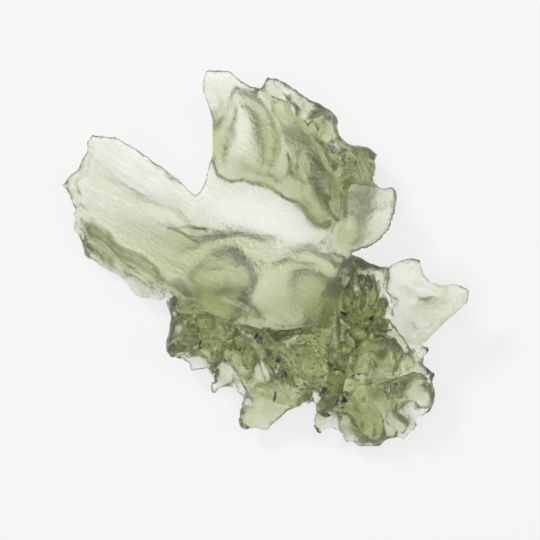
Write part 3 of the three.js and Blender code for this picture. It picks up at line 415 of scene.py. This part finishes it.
def mark_etched(stone):
    """Writes how deeply the skin is etched, as a vertex group for the relief and for the glass to read."""
    places, facing = skin_of(stone)
    x, y = places[:, 0], places[:, 1]
    satin = np.maximum(inside(x, y, SHELL), inside(x, y, RIGHT_WING))
    etched = 1 - smooth_step(satin, -0.4, 0.3)
    add_attribute(stone, "etched", etched)
    left_wing = smooth_step(-x, 2.0, 9.0) * smooth_step(13.5 - y, 0.0, 3.0)
    add_attribute(stone, "striated", (1 - etched) * (FAINT_FLOW + (1 - FAINT_FLOW) * left_wing))
    bite = np.ones(len(x))
    for middle_x, middle_y, reach, gain in BITES:
        near = 1 - smooth_step(np.hypot(x - middle_x, y - middle_y), 0.5 * reach, reach)
        bite += (gain - 1) * near
    depth = BODY_DEPTH * etched * bite * np.where(x < RIM_END, RIM_SHARE, 1.0)
    fringe = FRINGE_DEPTH * (1 - smooth_step(satin, 0.4, 1.7)) * smooth_step(-x, -6.0, 0.0)
    depth = np.maximum(depth, fringe)
    depth = np.where(facing[:, 2] < 0, BELOW_LEAST + BELOW_SHARE * depth, depth)
    group = stone.vertex_groups.new(name="etched")
    steps = np.clip(np.round(depth * STEPS), 0, STEPS).astype(int)
    for step in range(STEPS + 1):
        group.add(np.flatnonzero(steps == step).tolist(), step / STEPS, "REPLACE")


ETCH_TURN = 25  # degrees, which turns the pits' long way from +Y to run from the shell down to the lobes


def etch(stone, cell, depth, stretch):
    """Etches long rounded pits that meet at sharp ridges. Cell and depth are in millimetres."""
    pattern = bpy.data.textures.new("etch_pits", "VORONOI")
    pattern.noise_scale = cell * MM
    pattern.distance_metric = "DISTANCE_SQUARED"
    bpy.ops.object.empty_add(rotation=(0, 0, math.radians(ETCH_TURN)))
    grain_frame = bpy.context.object
    grain_frame.scale = (1, stretch, 1)
    apply_modifier(
        stone,
        "DISPLACE",
        texture=pattern,
        texture_coords="OBJECT",
        texture_coords_object=grain_frame,
        vertex_group="etched",
        strength=depth * MM,
        mid_level=0.5,
    )
    bpy.data.objects.remove(grain_frame)


# The rolled lips: how high each stands, how far inside the rim its crest lies, and half its width.
LEFT_LIP = (0.36, 0.95, 0.55)
RIGHT_LIP = (0.22, 0.9, 0.5)


def lip_along(x, y, outline, lip, waves):
    """How high a rolled lip stands over each point. Its crest wavers along the rim."""
    high, crest, half_width = lip
    return high * np.exp(-(((inside(x, y, outline) - crest - waves) / half_width) ** 2))


def lip_height(x, y):
    """How far the rolled lips along the free rims swell either skin."""
    waves = 0.25 * np.sin(1.9 * x + 1.3 * np.sin(1.1 * y)) + 0.2 * np.sin(2.7 * y + 0.9 * x)
    left = lip_along(x, y, SHELL, LEFT_LIP, waves) * smooth_step(-x, 6.5, 8.5)
    left *= 1 - 0.7 * smooth_step(y, 6.5, 8.0) * smooth_step(x, -18.0, -16.5)  # low on the upper rim
    left *= 0.7 + 0.3 * smooth_step(y - 4.8 + 0.82 * (x + 19.4), 1.0, 2.5)  # a little lower on the lower rim
    right = lip_along(x, y, RIGHT_WING, RIGHT_LIP, waves) * smooth_step(x, 13.5, 15.0)
    return np.maximum(left, right)


# The upper skin's lines and pits are made this many times as high as their tables say, so that they show
# through its frosting.
LINES_GAIN, PITS_GAIN = 1.8, 1.2


def carve(stone):
    """Raises the ridges and swells, cuts the grooves and pits, folds the underside and rolls the lips."""
    places, facing = skin_of(stone)
    x, y = places[:, 0], places[:, 1]
    above = lines_height(x, y, RIDGES) - lines_height(x, y, GROOVES) + lines_height(x, y, SWELLS, rounded)
    above = LINES_GAIN * above - PITS_GAIN * pits_depth(x, y)
    below = lines_height(x, y, FOLDS, rounded) - lines_height(x, y, DIPS, rounded)
    height = above * smooth_step(facing[:, 2], 0.05, 0.3)
    height += below * smooth_step(-facing[:, 2], 0.1, 0.4)
    height += lip_height(x, y) * smooth_step(np.abs(facing[:, 2]), 0.2, 0.6)
    places += facing * height[:, None]
    stone.data.vertices.foreach_set("co", (places * MM).ravel())
    stone.data.update()


# Sizes of the glass's patterns, in metres. The frosting that acid soil leaves is under 0.1 mm and would not
# show, so its lumps and its specks are drawn as coarse as this.
LUMPS, LUMPS_HIGH = 0.45 * MM, 0.14 * MM
SPECKS = 0.28 * MM
# Flow lines of the melt, about 0.7 mm apart and seven times as long, on the satin leaves.
FLOW_APART, FLOW_HIGH = 0.7 * MM, 0.2 * MM
FLOW_TURN = -32  # degrees from +X, so that they run down to the right
FLOW_LONG = (7.0, 1.0, 2.0)
# How rough the satin leaves are, and the deeply etched skin.
SATIN_ROUGH, ETCHED_ROUGH = 0.34, 0.16
# How much of the light goes through the skin. The rest is what its frosting scatters.
CLEARNESS = 0.97
# A millimetre of this glass lets through about 84% of red light, 85% of green and 70% of blue.
GREEN, GREEN_DENSITY = "#CCD27B", 445.0


def moldavite_glass():
    """Moldavite is natural silica glass, clear olive green, with a satin skin that acid soil has etched.

    The eye sees green only where the glass is thick. The skin is rougher on the smooth leaves than where
    it is deeply etched, and it scatters a little of the light.
    """
    material = bpy.data.materials.new("etched_moldavite_glass")
    material.use_nodes = True
    tree = material.node_tree
    tree.nodes.clear()
    place = node(tree, "ShaderNodeTexCoord").outputs["Object"]
    etched = node(tree, "ShaderNodeAttribute", attribute_name="etched").outputs["Fac"]
    striated = node(tree, "ShaderNodeAttribute", attribute_name="striated").outputs["Fac"]
    grain = node(
        tree,
        "ShaderNodeTexNoise",
        {"Scale": 1 / LUMPS, "Detail": 3.0, "Roughness": 0.6},
        {"Vector": place},
    )
    flow = node(
        tree,
        "ShaderNodeMapping",
        {"Rotation": (0.0, 0.0, math.radians(FLOW_TURN)), "Scale": FLOW_LONG},
        {"Vector": place},
        vector_type="TEXTURE",
    )
    striae = node(
        tree,
        "ShaderNodeTexNoise",
        {"Scale": 1 / FLOW_APART, "Detail": 3.0, "Roughness": 0.6},
        {"Vector": flow.outputs["Vector"]},
    )
    streaks = node(
        tree,
        "ShaderNodeBump",
        {"Distance": FLOW_HIGH},
        {"Height": striae.outputs["Fac"], "Strength": striated},
    )
    bump = node(
        tree,
        "ShaderNodeBump",
        {"Strength": 1.0, "Distance": LUMPS_HIGH},
        {"Height": grain.outputs["Fac"], "Normal": streaks.outputs["Normal"]},
    )
    satin = node(
        tree,
        "ShaderNodeMapRange",
        {"From Min": 0.0, "From Max": 1.0, "To Min": SATIN_ROUGH, "To Max": ETCHED_ROUGH},
        {"Value": etched},
    )
    frost = node(
        tree,
        "ShaderNodeTexNoise",
        {"Scale": 1 / SPECKS, "Detail": 3.0, "Roughness": 0.7},
        {"Vector": place},
    )
    specks = node(
        tree,
        "ShaderNodeMapRange",
        {"From Min": 0.38, "From Max": 0.68, "To Min": 0.0, "To Max": 1.0},
        {"Value": frost.outputs["Fac"]},
    )
    tint = node(
        tree,
        "ShaderNodeMixRGB",
        {"Color1": linear("#FFFFFF"), "Color2": linear("#F7F8F3")},
        {"Fac": specks.outputs["Result"]},
    )
    skin = node(
        tree,
        "ShaderNodeBsdfPrincipled",
        {"Transmission Weight": CLEARNESS, "IOR": 1.49},
        {
            "Base Color": tint.outputs["Color"],
            "Normal": bump.outputs["Normal"],
            "Roughness": satin.outputs["Result"],
        },
    )
    green = node(
        tree,
        "ShaderNodeVolumeAbsorption",
        {"Color": linear(GREEN), "Density": GREEN_DENSITY},
    )
    node(
        tree,
        "ShaderNodeOutputMaterial",
        links={"Surface": skin.outputs["BSDF"], "Volume": green.outputs["Volume"]},
    )
    return material


stone = stone_from_solid(frame["nodes"]["moldavite"])
mark_etched(stone)
etch(stone, cell=1.6, depth=0.9, stretch=2.4)
etch(stone, cell=0.6, depth=0.23, stretch=2.0)
carve(stone)
select_only(stone)
bpy.ops.object.shade_smooth()
stone.data.materials.clear()
stone.data.materials.append(moldavite_glass())
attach(stone, "root")
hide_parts("moldavite")

# ---------------------------------------------------------------- the table and the light

TABLE_WIDE = 3.0  # metres
TABLE_DROP = 0.02 * MM  # how far the table lies under the stone, so that their faces never share a plane


def pale_table():
    """A lit panel of matt opal acrylic, large enough to fill every view.

    It glows an even white, and its own face throws little light back, so the stone leaves hardly a shadow.
    """
    bpy.ops.mesh.primitive_plane_add(size=TABLE_WIDE, location=(0, 0, -TABLE_DROP))
    table = bpy.context.object
    table.name = "table"
    material = bpy.data.materials.new("lit_opal_acrylic")
    material.use_nodes = True
    shader = material.node_tree.nodes["Principled BSDF"]
    shader.inputs["Base Color"].default_value = linear("#606060")
    shader.inputs["Roughness"].default_value = 0.9
    shader.inputs["Emission Color"].default_value = linear("#FFFFFF")
    shader.inputs["Emission Strength"].default_value = 0.735
    table.data.materials.append(material)


def softbox(name, size, place, watts):
    """A soft square light that faces the stone."""
    data = bpy.data.lights.new(name, "AREA")
    data.size = size
    data.energy = watts
    lamp = bpy.data.objects.new(name, data)
    lamp.location = place
    lamp.rotation_euler = Vector(place).to_track_quat("Z", "Y").to_euler()
    bpy.context.scene.collection.objects.link(lamp)


def dim_room():
    """An even grey room that adds a little light from all round."""
    world = bpy.data.worlds.new("studio")
    world.use_nodes = True
    background = world.node_tree.nodes["Background"]
    background.inputs["Color"].default_value = linear("#BCBCBC")
    background.inputs["Strength"].default_value = 0.12
    bpy.context.scene.world = world


LIGHT_BOUNCES = 24  # light crosses many etched faces on its way through the stone

pale_table()
softbox("overhead", size=0.7, place=(-0.05, 0.05, 0.8), watts=6.2)
softbox("key", size=0.12, place=(-0.35, 0.35, 0.45), watts=3.2)
softbox("fill", size=0.1, place=(0.4, 0.1, 0.45), watts=0.6)
dim_room()
bpy.context.scene.view_settings.view_transform = "Standard"
bpy.context.scene.cycles.max_bounces = LIGHT_BOUNCES
bpy.context.scene.cycles.transmission_bounces = LIGHT_BOUNCES
bpy.context.scene.cycles.caustics_refractive = True
